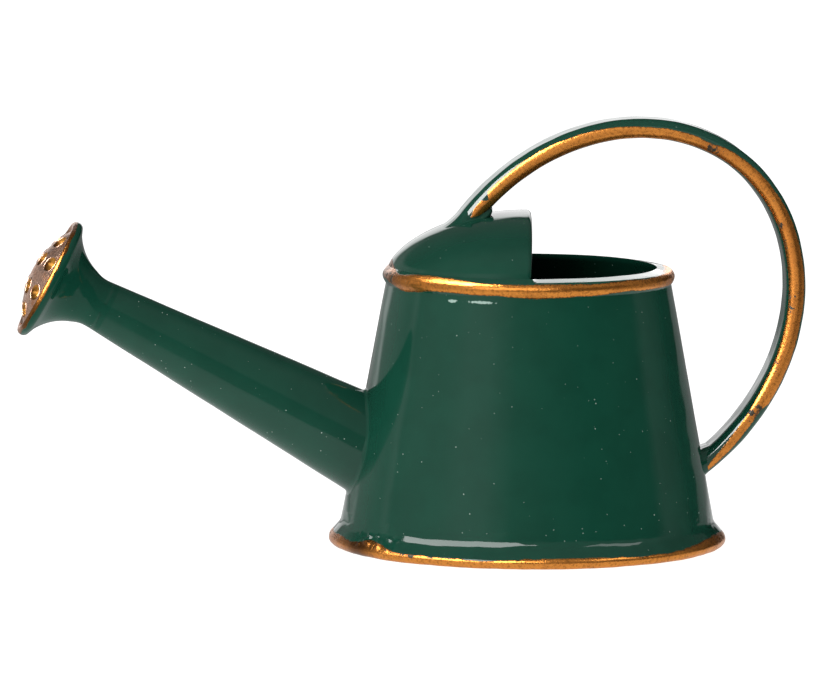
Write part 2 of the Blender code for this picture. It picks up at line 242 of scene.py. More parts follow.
def cut(item, cutter, operation="DIFFERENCE"):
    """Applies an exact boolean and removes the cutter."""
    boolean = item.modifiers.new(operation.lower(), "BOOLEAN")
    boolean.operation = operation
    boolean.solver = "EXACT"
    boolean.object = cutter
    apply_modifiers(item)
    bpy.data.objects.remove(cutter)


def apply_modifiers(item):
    bpy.context.view_layer.update()
    evaluated = item.evaluated_get(bpy.context.evaluated_depsgraph_get())
    mesh = bpy.data.meshes.new_from_object(evaluated)
    item.modifiers.clear()
    item.data = mesh


def points_of(item):
    """The object's vertices in millimetres."""
    co = np.empty(len(item.data.vertices) * 3)
    item.data.vertices.foreach_get("co", co)
    return co.reshape(-1, 3) / MM


def set_points(item, points):
    item.data.vertices.foreach_set("co", (points * MM).ravel())
    item.data.update()


def field(points, scale, seed=0.0):
    """Smooth noise from -1 to 1 at each point; scale is the size of its lumps."""
    shift = Vector((seed * 7.31, seed * 3.17, seed * 5.53))
    return np.array([noise.noise(Vector(p) / scale + shift) for p in points])


def ripple(item, amounts):
    """Pushes the surface along its normals by a sum of noise, inside the CAD model's box."""
    points = points_of(item)
    normals = np.empty(len(points) * 3)
    item.data.vertex_normals.foreach_get("vector", normals)
    shift = sum(height * field(points, scale, seed) for height, scale, seed in amounts)
    points = points + normals.reshape(-1, 3) * shift[:, None]
    set_points(item, np.clip(points, np.array(cad_box[0]) / MM, np.array(cad_box[1]) / MM))


def set_attribute(item, name, values):
    data = item.data.attributes.new(name, "FLOAT", "POINT")
    data.data.foreach_set("value", np.asarray(values, np.float32))


def dress(item, material, slot, *nodes):
    """Gives the piece its material, and puts it in the place of CAD nodes."""
    item.data.materials.clear()
    item.data.materials.append(material)
    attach(item, "root")
    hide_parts(*nodes)


# ---- the shapes' formulas
def wall_radius(z):
    return WALL_TOP_RADIUS + WALL_SLOPE * (WALL_TOP_Z - z)


def above_wall(point):
    """Distance of a point outside the tapered wall, negative inside."""
    x, y, z = point
    return (math.hypot(x, y) - wall_radius(z)) / math.hypot(1.0, WALL_SLOPE)


def dome_share(share, side):
    """Height share of the hood at a radius share. side is 0 at the front and 1 at the sides."""
    spread = HOOD_FRONT_POWERS[0] + (HOOD_SIDE_POWERS[0] - HOOD_FRONT_POWERS[0]) * side
    crown = HOOD_FRONT_POWERS[1] + (HOOD_SIDE_POWERS[1] - HOOD_FRONT_POWERS[1]) * side
    return max(0.0, 1.0 - min(1.0, share) ** spread) ** (1.0 / crown)


def hood_height(x, y, inset=0.0):
    """Height of the dome's surface at a place, or of the same dome grown or shrunk."""
    radius = HOOD_RADIUS - inset
    share = math.hypot(x, y) / radius
    side = (y / max(1e-9, math.hypot(x, y))) ** 2
    return HOOD_BASE_Z + (HOOD_HEIGHT - inset) * dome_share(share, side)


def above_hood(point):
    x, y, z = point
    step = 0.05
    height = hood_height(x, y)
    slope_x = (hood_height(x + step, y) - hood_height(x - step, y)) / (2 * step)
    slope_y = (hood_height(x, y + step) - hood_height(x, y - step)) / (2 * step)
    return (z - height) / math.sqrt(1.0 + slope_x ** 2 + slope_y ** 2)


def spout_radius(t):
    return SPOUT_END_RADIUS + SPOUT_TAPER * (SPOUT_END - t)


SPOUT_PLACE = (
    Matrix.Translation((0.0, 0.0, SPOUT_AXIS_Z))
    @ Matrix.Rotation(math.radians(SPOUT_YAW), 4, "Z")
    @ Matrix.Rotation(math.radians(SPOUT_RISE - 90.0), 4, "Y")
)
SPOUT_PLACE_M = in_metres(SPOUT_PLACE)


def spout_point(angle, t, inset=0.0):
    radius = spout_radius(t) - inset
    return SPOUT_PLACE @ Vector((radius * math.cos(angle), radius * math.sin(angle), t))


def handle_point(turn, offset):
    """Point (x, z) of the strap's side view, offset outwards from its centre line."""
    lean = math.radians(HANDLE_LEAN)
    angle = math.radians(turn)
    along = Vector((HANDLE_LONG_RADIUS * math.cos(angle), HANDLE_SHORT_RADIUS * math.sin(angle)))
    outward = Vector((HANDLE_SHORT_RADIUS * math.cos(angle), HANDLE_LONG_RADIUS * math.sin(angle)))
    along += outward.normalized() * offset
    x = HANDLE_CENTRE[0] + along.x * math.cos(lean) - along.y * math.sin(lean)
    z = HANDLE_CENTRE[1] + along.x * math.sin(lean) + along.y * math.cos(lean)
    return x, z


def strap_section():
    """Rounded section of the strap: (offset outwards, y) points, with slightly full sides."""
    half_width = HANDLE_WIDTH / 2 - HANDLE_CORNER
    half_depth = HANDLE_THICKNESS / 2 - HANDLE_CORNER
    bulge = 0.06
    points = []
    for out, aside, start in ((1, 1, 90), (1, -1, 0), (-1, -1, -90), (-1, 1, 180)):
        points += arc((half_depth * out, half_width * aside), HANDLE_CORNER, start, start - 90, 9)
    result = []
    for offset, y in dense(points, 0.3, closed=True):
        flat = min(1.0, (offset / (HANDLE_THICKNESS / 2)) ** 2)
        result.append((offset, y * (1.0 - bulge / (HANDLE_WIDTH / 2) * flat)))
    return result


HANDLE_PLACE = Matrix.Rotation(math.radians(HANDLE_YAW), 3, "Z")


def strap_point(section, turn):
    offset, y = section
    x, z = handle_point(turn, offset)
    return HANDLE_PLACE @ Vector((x, y, z))


def crossing(path, above, low, high, depth=0.0):
    """Parameter between low and high where a path passes the given depth of a host surface."""
    low_side = above(path(low)) > depth
    for _ in range(40):
        middle = 0.5 * (low + high)
        if (above(path(middle)) > depth) == low_side:
            low = middle
        else:
            high = middle
    return 0.5 * (low + high)


def weld(name, rim, member_point, above, height, spread, material, node, belly=None, steps=9):
    """Fillet of solder where a member stands on a host surface: hollow, or full by belly(j).

    rim holds the crossing curve's points; member_point(j, h) is the point of the member at
    height h above the host; height(j) and spread(j) are the fillet's legs on the two.
    """
    count = len(rim)
    grid = np.zeros((steps + 1, count, 3))
    for j in range(count):
        corner = Vector(rim[j])
        normal = surface_normal(above, corner)
        tangent = Vector(rim[(j + 1) % count]) - Vector(rim[j - 1])
        outward = tangent.cross(normal).normalized()
        top = member_point(j, height(j)) - outward * 0.012
        foot = corner + outward * spread(j)
        foot -= normal * (above(foot) + 0.004)
        control = corner
        if belly is not None:
            control = corner + (outward * spread(j) + top - corner) * belly(j)
        for i in range(steps):
            grid[i, j] = bend(top, control, foot, i / (steps - 1))
        grid[steps, j] = corner - normal * 0.35 - outward * 0.3
    dress(grid_object(name, grid, True, True, smooth_angle=70.0), material, "green_lacquer", node)


def surface_normal(above, point):
    step = 0.02
    here = above(point)
    slopes = []
    for axis in range(3):
        shifted = point.copy()
        shifted[axis] += step
        slopes.append((above(shifted) - here) / step)
    return Vector(slopes).normalized()


# ---- the pieces
# Unevenness of the lacquer: (height, scale, seed) of each noise.
LACQUER_WAVES = ((0.030, 5.0, 1.0), (0.012, 2.2, 2.0), (0.004, 0.9, 3.0))
# Painted highlights under the rim, pale marks in place of a light's reflection: the centre and the half
# sizes of each.
WALL_PAINTED_HIGHLIGHTS = (
    ((-7.77, -12.44, 26.16), (0.55, 0.55, 0.16)),
    ((-4.95, -13.81, 26.16), (1.45, 1.45, 0.15)),
)


def tilt_lip(item):
    """Slopes the open part of the mouth's lip down towards its outer edge."""
    uncut = 0.51
    points = points_of(item)
    inner = WALL_TOP_RADIUS - WALL_THICKNESS + LIP_ROUNDING
    fall = LIP_SLOPE * (np.hypot(points[:, 0], points[:, 1]) - inner)
    roof = WALL_TOP_Z - fall + uncut * (1.0 - smoothstep(points[:, 0], 0.0, 0.4))
    points[:, 2] = np.where(fall > 0.0, np.minimum(points[:, 2], roof), points[:, 2])
    set_points(item, points)


def paint_ring(item):
    """Marks where the gold, the wear and the stain of the rim lie."""
    points = points_of(item)
    set_attribute(item, "gold", rim_band(points))
    set_attribute(item, "worn", ring_wear(points))
    set_attribute(item, "stain_and_shade", 0.8 * bump_at(ring_angle(points), -172.0, 32.0))


def make_wall(material):
    """Tapered wall with a rounded lip, and the port for the spout."""
    centre_z = WALL_TOP_Z - LIP_ROUNDING
    outer = wall_radius(centre_z)
    inner = outer - WALL_THICKNESS
    profile = arc((outer - LIP_ROUNDING, centre_z), LIP_ROUNDING, 87.0, 10.5, 9)
    profile.append((wall_radius(WALL_BASE_Z), WALL_BASE_Z))
    profile.append((wall_radius(WALL_BASE_Z) - WALL_THICKNESS, WALL_BASE_Z))
    profile += arc((inner + LIP_ROUNDING, centre_z), LIP_ROUNDING, 169.5, 87.0, 9)
    wall = turned("wall_skin", dense(profile, 0.6, closed=True), ROUND_STEPS)
    near, far = 10.0, 23.0
    port_profile = [(0.0, far), (PORT_RADIUS, far), (PORT_RADIUS, near), (0.0, near)]
    port = turned("port_cutter", port_profile, 96, place=SPOUT_PLACE_M, closed=False)
    cut(wall, port)
    tilt_lip(wall)
    ripple(wall, LACQUER_WAVES)
    smooth(wall, 40.0)
    paint_ring(wall)
    points = points_of(wall)
    # Painted shade inside the mouth: below the lip the inner wall is darkened, less so away from the hood,
    # in place of the hood's shadow.
    depth = wall_radius(points[:, 2]) - np.hypot(points[:, 0], points[:, 1])
    shade = smoothstep(depth, 0.8, 1.1) * smoothstep(WALL_TOP_Z - points[:, 2], 0.15, 0.65)
    set_attribute(wall, "inside", shade * (1.0 - 0.65 * smoothstep(points[:, 0], 3.0, 11.0)))
    dress(wall, material, "green_lacquer", "body_wall")


def make_foot(material):
    """Flared foot: the wall's cone, a tight hollow corner, a sloping ledge and a round edge."""
    top_z = WALL_BASE_Z + 0.5
    corner = Vector((wall_radius(FOOT_CORNER_Z), FOOT_CORNER_Z))
    centre = Vector((FOOT_RADIUS - FOOT_EDGE_RADIUS, FOOT_EDGE_RADIUS))
    to_centre = centre - corner
    slope = math.atan2(to_centre.y, to_centre.x) + math.asin(FOOT_EDGE_RADIUS / to_centre.length)
    down_wall = Vector((WALL_SLOPE, -1.0)).normalized()
    down_ledge = Vector((math.cos(slope), math.sin(slope)))
    start = corner - down_wall * FOOT_CORNER_RADIUS
    end = corner + down_ledge * FOOT_CORNER_RADIUS
    profile = [(wall_radius(top_z) - 0.0006, top_z)]
    profile += [tuple(bend(start, corner, end, share)) for share in np.linspace(0.0, 1.0, 9)]
    edge_start = math.degrees(slope) + 90.0
    profile += arc(centre, FOOT_EDGE_RADIUS, edge_start, -90.0, 15)
    inner_edge = 0.25
    profile += arc((FOOT_INNER_RADIUS + inner_edge, inner_edge), inner_edge, -90.0, -180.0, 5)
    profile += [(FOOT_INNER_RADIUS, WALL_BASE_Z - 0.1), (wall_radius(top_z) - 0.6, WALL_BASE_Z + 0.1)]
    profile.append((wall_radius(top_z) - 0.5, top_z))
    foot = turned("foot_skin", dense(profile, 0.25, closed=True), 2 * ROUND_STEPS)
    ripple(foot, LACQUER_WAVES + ((0.035, 1.6, 9.0),))
    add_foot_lumps(foot)
    set_attribute(foot, "gold", foot_band(points_of(foot)))
    set_attribute(foot, "worn", foot_wear(points_of(foot)))
    set_attribute(foot, "stain_and_shade", 0.95 * bump_at(ring_angle(points_of(foot)), -149.0, 13.0))
    dress(foot, material, "gold_paint", "foot_ring")


def add_foot_lumps(foot):
    """A patch of small lumps of paint on the ledge, towards the spout."""
    points = points_of(foot)
    angle = ring_angle(points)
    height = smoothstep(points[:, 2], 0.8, 1.3) * (1.0 - smoothstep(points[:, 2], 2.0, 2.5))
    lump = 0.45 * np.maximum(0.0, field(points, 0.55, 71.0)) * bump_at(angle, -143.0, 13.0) * height
    around = np.radians(angle)
    points += circle(1.0, 0.8, around) * lump[:, None]
    set_points(foot, points)


def make_base(material):
    edge = 0.2
    radius = FOOT_INNER_RADIUS - 0.02
    profile = [(0.0, BASE_HIGH.z)]
    profile += arc((radius - edge, BASE_HIGH.z - edge), edge, 90.0, 0.0, 4)
    profile += arc((radius - edge, edge + 0.05), edge, 0.0, -90.0, 4)
    profile.append((0.0, 0.05))
    plate = turned("base_plate_skin", dense(profile, 0.5), ROUND_STEPS, closed=False)
    ripple(plate, ((0.04, 4.0, 5.0), (0.015, 1.2, 6.0)))
    dress(plate, material, "dark_lacquer", "base_plate")


def make_bead(material):
    """Low round bead under the lip, blended into the wall, uneven round its length."""
    middle = (BEAD_TOP_Z + BEAD_BASE_Z) / 2
    half = (BEAD_TOP_Z - BEAD_BASE_Z) / 2 + 0.12
    depth = BEAD_RADIUS - wall_radius(middle) - 0.01
    rows = 25
    angles = np.linspace(0.0, 2 * math.pi, 2 * ROUND_STEPS, endpoint=False)
    uneven = field(circle(WALL_TOP_RADIUS, 0.0, angles), 3.0, 11.0)
    grid = np.zeros((rows + 1, len(angles), 3))
    for i in range(rows):
        share = 1.0 - 2.0 * i / (rows - 1)
        z = middle + half * share
        swell = depth * (1.0 - share ** 2) ** 1.15 * (0.93 - 0.07 * uneven)
        radius = wall_radius(z) - 0.002 + swell
        grid[i] = circle(radius, z, angles)
    grid[rows] = circle(wall_radius(middle) - 0.5, middle, angles)
    bead = grid_object("rim_bead_skin", grid, True, True)
    tilt_lip(bead)
    ripple(bead, LACQUER_WAVES + ((0.02, 0.8, 12.0),))
    paint_ring(bead)
    dress(bead, material, "gold_paint", "rim_bead")


def hood_outer(alpha, beta, inset=0.0):
    """Point of the dome: alpha is 0 at the base and 90 degrees at the opening, beta runs across."""
    x = -math.sin(beta) * math.cos(alpha)
    y = -math.cos(beta)
    radius = HOOD_RADIUS - inset
    share = math.hypot(x, y)
    side = (y / max(share, 1e-9)) ** 2
    height = dome_share(share, side)
    opening = HOOD_OPENING_X - HOOD_EDGE_ROUNDING - HOOD_OPENING_LEAN * (1.0 - height)
    px = x * radius + opening * (alpha / (math.pi / 2)) ** 6
    return Vector((px, y * radius, HOOD_BASE_Z + (HOOD_HEIGHT - inset) * height))


def edge_point(corner, inward, turn):
    """Point of the rounded edge of the hood's opening."""
    reach = HOOD_EDGE_ROUNDING * math.sin(turn)
    sink = HOOD_EDGE_ROUNDING * (1.0 - math.cos(turn))
    return corner + Vector((reach, 0.0, 0.0)) + inward * sink


def make_hood(material):
    """Half dome with a rounded opening edge; its hem reaches down over the lip."""
    hem = 0.45
    betas = np.linspace(0.0, math.pi, 181)
    alphas = np.linspace(0.0, math.pi / 2, 61)
    inner_alphas = np.linspace(math.pi / 2, 0.0, 31)
    edge_turns = np.radians(np.linspace(9.0, 90.0, 8))
    rows = []
    for beta in betas:
        before = hood_outer(math.pi / 2, max(0.0, beta - 0.01))
        after = hood_outer(math.pi / 2, min(math.pi, beta + 0.01))
        inward = Vector((0.0, after.z - before.z, before.y - after.y)).normalized()
        row = [hood_outer(0.0, beta) - Vector((0.0, 0.0, hem))]
        row += [hood_outer(alpha, beta) for alpha in alphas]
        start = row[-1]
        end = hood_outer(math.pi / 2, beta, HOOD_THICKNESS)
        row += [edge_point(start, inward, turn) for turn in edge_turns]
        row += [edge_point(end, -inward, turn) for turn in edge_turns[::-1]]
        row += [hood_outer(alpha, beta, HOOD_THICKNESS) for alpha in inner_alphas]
        row.append(row[-1] - Vector((0.0, 0.0, hem)))
        rows.append(row)
    hood = grid_object("hood_skin", np.array(rows), False, True, cap_ends=True, smooth_angle=50.0)
    ripple(hood, LACQUER_WAVES)
    paint_ring(hood)
    dress(hood, material, "green_lacquer", "hood")


def make_spout(material):
    """Tapered tube whose two skins end inside the thickness of the wall."""
    buried = -0.5
    rows = 90
    angles = np.linspace(0.0, 2 * math.pi, SMALL_STEPS, endpoint=False)
    grid = np.zeros((2 * rows, len(angles), 3))
    for j, angle in enumerate(angles):
        for side, inset in enumerate((0.0, SPOUT_THICKNESS)):
            path = lambda t: spout_point(angle, t, inset)
            start = crossing(path, above_wall, SPOUT_START, 26.0, buried)
            for i in range(rows):
                t = start + (SPOUT_END - start) * i / (rows - 1)
                row = i if side == 0 else 2 * rows - 1 - i
                grid[row, j] = path(t)
    spout = grid_object("spout_skin", grid, True, True)
    ripple(spout, LACQUER_WAVES)
    dress(spout, material, "green_lacquer", "spout_tube")


def make_root_solder(material):
    angles = np.linspace(0.0, 2 * math.pi, 160, endpoint=False)

    def member_point(j, height):
        t = crossing(lambda s: spout_point(angles[j], s), above_wall, SPOUT_START, 28.0, height)
        return spout_point(angles[j], t)

    rim = [member_point(j, 0.0) for j in range(len(angles))]
    lumps = field([p / 2.0 for p in rim], 1.0, 21.0)

    weld(
        "spout_root_fillet", rim, member_point, above_wall,
        lambda j: 0.42 + 0.12 * lumps[j], lambda j: 0.5 + 0.15 * lumps[j],
        material, "spout_root_solder",
    )


def bell_radius(t):
    """Outer radius of the bell: the spout's taper, blended into the trumpet's arc."""
    neck = SPOUT_END + 0.1
    line = spout_radius(t)
    rise = max(0.0, t - neck)
    trumpet = spout_radius(neck) + BELL_FLARE_RADIUS - math.sqrt(BELL_FLARE_RADIUS ** 2 - rise ** 2)
    share = min(1.0, max(0.0, (t - neck + 0.6) / 2.6))
    weight = share * share * (3.0 - 2.0 * share)
    return line * (1.0 - weight) + trumpet * weight


def make_bell(material):
    neck = SPOUT_END - 0.8
    flare_end = math.radians(59.0)
    last = SPOUT_END + 0.1 + BELL_FLARE_RADIUS * math.sin(flare_end)
    heights = np.linspace(neck, last, 60)
    outer = [(bell_radius(t) + (0.0006 if t < SPOUT_END else 0.0), t) for t in heights]
    outer += arc(BELL_LIP_CENTRE, BELL_LIP_RADIUS, -64.0, 22.0, 14)
    inner = []
    for (r0, t0), (r1, t1) in zip(outer, outer[1:]):
        length = math.hypot(r1 - r0, t1 - t0)
        inner.append((r0 - (t1 - t0) / length * BELL_THICKNESS, t0 + (r1 - r0) / length * BELL_THICKNESS))
    bell = turned("rose_bell_skin", outer + inner[::-1], SMALL_STEPS, place=SPOUT_PLACE_M)
    ripple(bell, LACQUER_WAVES)
    paint_rose_edge(bell)
    dress(bell, material, "green_lacquer", "rose_bell")


def make_rose_rim(material):
    profile = arc(RIM_CENTRE, RIM_WIRE_RADIUS, 0.0, 345.0, 24)
    rim = turned("rose_rim_skin", profile, 2 * SMALL_STEPS, place=SPOUT_PLACE_M)
    ripple(rim, LACQUER_WAVES + ((0.02, 0.8, 13.0),))
    paint_rose_edge(rim)
    dress(rim, material, "rose_gold_paint", "rose_rim")


def make_rose_face(material):
    """Domed face with dished holes, each with a thin raised lip and a fine bore."""
    rise = FACE_APEX - FACE_EDGE
    ball = (FACE_RADIUS ** 2 + rise ** 2) / (2 * rise)
    top = []
    for r in np.linspace(0.0, FACE_RADIUS, 40):
        top.append((r, FACE_APEX - ball + math.sqrt(ball ** 2 - r ** 2)))
    core = 0.82 * FACE_RADIUS
    bottom = [(r, t - FACE_THICKNESS) for r, t in reversed(top) if r < core]
    face = turned("rose_face_skin", top + bottom, 180, place=SPOUT_PLACE_M, closed=False)
    centre = FACE_APEX - ball
    places = []
    for count, ring_radius, turn in HOLE_RINGS:
        for i in range(count):
            angle = math.radians(turn + 360.0 * i / count)
            tilt = math.asin(ring_radius / ball)
            place = (
                SPOUT_PLACE
                @ Matrix.Translation((0.0, 0.0, centre))
                @ Matrix.Rotation(angle, 4, "Z")
                @ Matrix.Rotation(tilt, 4, "Y")
                @ Matrix.Translation((0.0, 0.0, ball))
            )
            places.append(place)
    for place in places:
        cut(face, hole_cutter(in_metres(place)))
    for place in places:
        cut(face, hole_lip(in_metres(place)), "UNION")
    ripple(face, ((0.02, 2.0, 14.0), (0.008, 0.7, 15.0)))
    smooth(face, 40.0)
    points = points_of(face)
    inside = np.zeros(len(points))
    stain_and_shade = np.zeros(len(points))
    for place in places:
        local = moved(place.inverted(), points)
        radius = np.hypot(local[:, 0], local[:, 1])
        within = (radius < HOLE_RADIUS + 0.03) * smoothstep(-local[:, 2], -0.02, 0.12)
        inside = np.maximum(inside, within)
        # Painted shade in each dimple: darker towards its lip and on its -X side, where the bowl's own
        # wall shades it.
        centre_x = place.to_translation().x
        side = np.clip(0.45 - 0.8 * (points[:, 0] - centre_x) / HOLE_RADIUS, 0.0, 1.0)
        stain_and_shade = np.maximum(stain_and_shade, within * side * smoothstep(radius, 0.40, 0.78))
    local = moved(SPOUT_PLACE.inverted(), points)
    radius = np.hypot(local[:, 0], local[:, 1])
    set_attribute(face, "gold", np.ones(len(points)))
    set_attribute(face, "dimple", inside)
    set_attribute(face, "stain_and_shade", np.clip(stain_and_shade, 0.0, 1.0))
    set_attribute(face, "worn", smoothstep(radius, FACE_RADIUS - 0.35, FACE_RADIUS - 0.1))
    face.visible_glossy = False
    dress(face, material, "rose_gold_paint", "rose_face")


def hole_cutter(place):
    """Bowl with a fine bore at its bottom."""
    profile = [(0.0, 0.8), (HOLE_RADIUS, 0.8)]
    for turn in np.radians(np.linspace(0.0, 72.0, 12)):
        profile.append((HOLE_RADIUS * math.cos(turn), -HOLE_DEPTH * math.sin(turn) ** 1.3))
    deep = -FACE_THICKNESS - 0.6
    profile += [(HOLE_BORE, deep), (0.0, deep)]
    return turned("hole_cutter", profile, 40, place=place, closed=False)


def hole_lip(place):
    """Thin rounded ring round a hole."""
    half = 0.085
    profile = arc((HOLE_RADIUS + half * 0.6, -0.06), half, 180.0, -150.0, 12)
    return turned("hole_lip", profile, 48, place=place)


def strap_limits(section):
    """Turns at which one line of the strap goes into the wall and into the hood."""
    path = lambda turn: strap_point(section, turn)
    rear = crossing(path, above_wall, HANDLE_START, -80.0, -0.45)
    front = crossing(path, above_hood, HANDLE_END + 4.0, 80.0, -0.4)
    return rear, front


def make_handle(material):
    section = strap_section()
    rows = 300
    grid = np.zeros((rows, len(section), 3))
    along = np.zeros((rows, len(section)))
    for j, place in enumerate(section):
        rear, front = strap_limits(place)
        for i in range(rows):
            turn = rear + (front - rear) * i / (rows - 1)
            grid[i, j] = strap_point(place, turn)
            along[i, j] = turn
    across = np.array([offset for offset, y in section])[None, :].repeat(rows, axis=0)
    width = np.array([y for offset, y in section])[None, :].repeat(rows, axis=0)
    strap = grid_object("handle_strap_skin", grid, False, True, cap_ends=True, smooth_angle=60.0)
    gold = strap_band(along.ravel(), across.ravel(), width.ravel())
    ripple(strap, LACQUER_WAVES + ((0.02, 1.5, 16.0),))
    set_attribute(strap, "gold", gold)
    set_attribute(strap, "worn", strap_wear(along.ravel(), across.ravel()))
    strap.visible_glossy = False
    dress(strap, material, "gold_paint", "handle_strap")


def make_handle_solder(name, node, above, low, high, legs, material):
    """Solder round one end of the strap, with a lump where the inner face meets the host.

    legs gives the fillet's size at the outer face, along the sides and at the inner face.
    """
    section = strap_section()

    def member_point(j, reach):
        turn = crossing(lambda s: strap_point(section[j], s), above, low, high, reach)
        return strap_point(section[j], turn)

    rim = [member_point(j, 0.0) for j in range(len(section))]
    lumps = field([p / 0.9 for p in rim], 1.0, 22.0)
    outer_leg, side_leg, inner_leg = legs

    def inner_share(j):
        return float(smoothstep(-section[j][0], 0.55, 0.95))

    def leg(j):
        outer_share = float(smoothstep(section[j][0], 0.0, 0.9))
        size = side_leg + (outer_leg - side_leg) * outer_share + (inner_leg - side_leg) * inner_share(j)
        return size * (1.0 + 0.30 * lumps[j])

    weld(
        name, rim, member_point, above, leg, leg, material, node,
        belly=lambda j: 0.75 * inner_share(j),
    )


# ---- where the gold paint lies
def smoothstep(value, low, high):
    share = np.clip((value - low) / (high - low), 0.0, 1.0)
    return share * share * (3.0 - 2.0 * share)


def bump_at(angle, middle, half_width, flat=0.0):
    """1 at an angle round the axis in degrees and flat beside it, fading to 0 half_width away."""
    away = np.abs((angle - middle + 180.0) % 360.0 - 180.0)
    return 1.0 - smoothstep(away, flat, half_width)


def bumps(angle, *humps):
    """Sum of bumps round the axis, each (height, middle, half width)."""
    return sum(height * bump_at(angle, middle, width) for height, middle, width in humps)


def rim_band(points):
    """Signed distance inside the wavy gold band round the bead."""
    angle = ring_angle(points)
    ring = points * (1.0, 1.0, 0.0)
    ring *= (WALL_TOP_RADIUS / np.maximum(np.hypot(ring[:, 0], ring[:, 1]), 1.0))[:, None]
    wave = field(ring, 5.0, 31.0)
    fine = field(ring, 1.3, 32.0)
    low = BEAD_BASE_Z + 0.05 + 0.22 * wave + 0.08 * fine
    low += bumps(angle, (-0.30, -88.0, 34.0), (0.75, -178.0, 26.0), (-0.25, -146.0, 22.0))
    high = BEAD_TOP_Z - 0.42 + 0.12 * field(ring, 4.0, 33.0) + 0.05 * fine
    high += bumps(angle, (0.45, -135.0, 38.0), (1.15, -177.0, 26.0), (0.40, -3.0, 38.0))
    outside = np.hypot(points[:, 0], points[:, 1]) - wall_radius(points[:, 2]) + 0.5
    return np.minimum(np.minimum(points[:, 2] - low, high - points[:, 2]), outside)


def ring_angle(points):
    """Angle round the can's axis in degrees."""
    return np.degrees(np.arctan2(points[:, 1], points[:, 0]))


def ring_wear(points):
    """How worn the paint is round the rim and the foot: most at the spout side."""
    return bumps(ring_angle(points), (1.0, -175.0, 36.0), (0.5, -3.0, 30.0))


def foot_wear(points):
    """The same for the foot, with a stained stretch along the edge of the paint."""
    near_edge = 1.0 - smoothstep(foot_band(points), 0.10, 0.45)
    return ring_wear(points) + 1.1 * bump_at(ring_angle(points), -131.0, 24.0) * near_edge


def foot_band(points):
    """Signed distance below the top edge of the gold round the foot."""
    angle = ring_angle(points)
    ring = points * (1.0, 1.0, 0.0)
    wave = field(ring, 5.0, 41.0)
    fine = field(ring, 1.1, 42.0)
    top = 1.05 + 0.20 * wave + 0.10 * fine
    top += bumps(angle, (0.4, -170.0, 40.0), (0.6, -143.0, 13.0), (-0.2, -112.0, 26.0), (0.5, -14.0, 30.0))
    return top - points[:, 2]


def paint_rose_edge(item):
    """Marks the gold line round the rose and its pink tips; the gold is darker all round but on the side
    towards the camera and at the tips.
    """
    points = points_of(item)
    local = moved(SPOUT_PLACE.inverted(), points)
    turn = np.degrees(np.arctan2(local[:, 1], local[:, 0]))
    lift = np.abs(np.cos(np.radians(turn)))
    # Darker all round the edge except towards the camera and at the tips.
    darkening = (1.0 - bump_at(turn, -87.0, 30.0, 14.0)) * (1.0 - smoothstep(lift, 0.82, 0.95))
    edge = RIM_CENTRE[1] + 0.06 + 0.12 * field(points, 1.2, 51.0)
    set_attribute(item, "gold", local[:, 2] - edge)
    set_attribute(item, "dimple", smoothstep(lift, 0.80, 0.95))
    set_attribute(item, "stain_and_shade", 0.8 * darkening)
    item.visible_glossy = False


# Edges of the gold on the strap: turns in degrees, and offsets outwards from the middle.
STRAP_GOLD_INNER = (
    (-104, -100, -92, -75, -45, -25, 0, 37, 85, 92, 98),
    (0.6, 0.1, -0.3, -0.74, -0.78, -0.80, -0.86, -0.97, -0.9, -0.75, 0.3),
)
STRAP_GOLD_OUTER = (
    (-104, -92, -86, -80.5, -78, -45, -20, 0, 20, 37, 50, 65, 85, 92, 98),
    (0.8, 0.62, 0.48, 0.42, 0.82, 0.8, 0.70, 0.45, 0.22, 0.22, 0.46, 0.58, 0.55, 0.35, -0.4),
)


def strap_band(turn, across, width):
    """Signed distance inside the gold on the strap's two side faces."""
    side = np.sign(width)
    place = np.stack([np.radians(turn) * 19.0, side * 40.0, 0 * turn], axis=-1)
    wave = field(place, 4.0, 61.0)
    fine = field(place, 1.2, 62.0)
    inner = np.interp(turn, *STRAP_GOLD_INNER) + 0.05 * wave
    outer = np.interp(turn, *STRAP_GOLD_OUTER) + 0.10 * field(place, 5.0, 63.0) + 0.05 * fine
    outer -= 0.55 * bump_at(turn, 87.5, 1.6)
    outer -= 0.35 * bump_at(turn, 14.0, 7.0) * (0.5 + field(place, 1.5, 64.0))
    on_side = np.abs(width) - (HANDLE_WIDTH / 2 - 0.9)
    return np.minimum(np.minimum(across - inner, outer - across), on_side)


def strap_wear(turn, across):
    """How worn the paint is along the strap: small patches where hands and tools rub it."""
    inner = smoothstep(-across, -0.2, 0.3)
    patches = bumps(turn, (0.8, 13.0, 9.0), (0.5, -83.0, 4.0), (0.4, 91.0, 5.0))
    patches += bumps(turn, (0.7, -66.0, 4.5), (0.6, -23.0, 3.0), (0.5, -48.0, 3.5)) * inner
    return patches + 0.35 * (1.0 - smoothstep(turn, -5.0, 30.0))


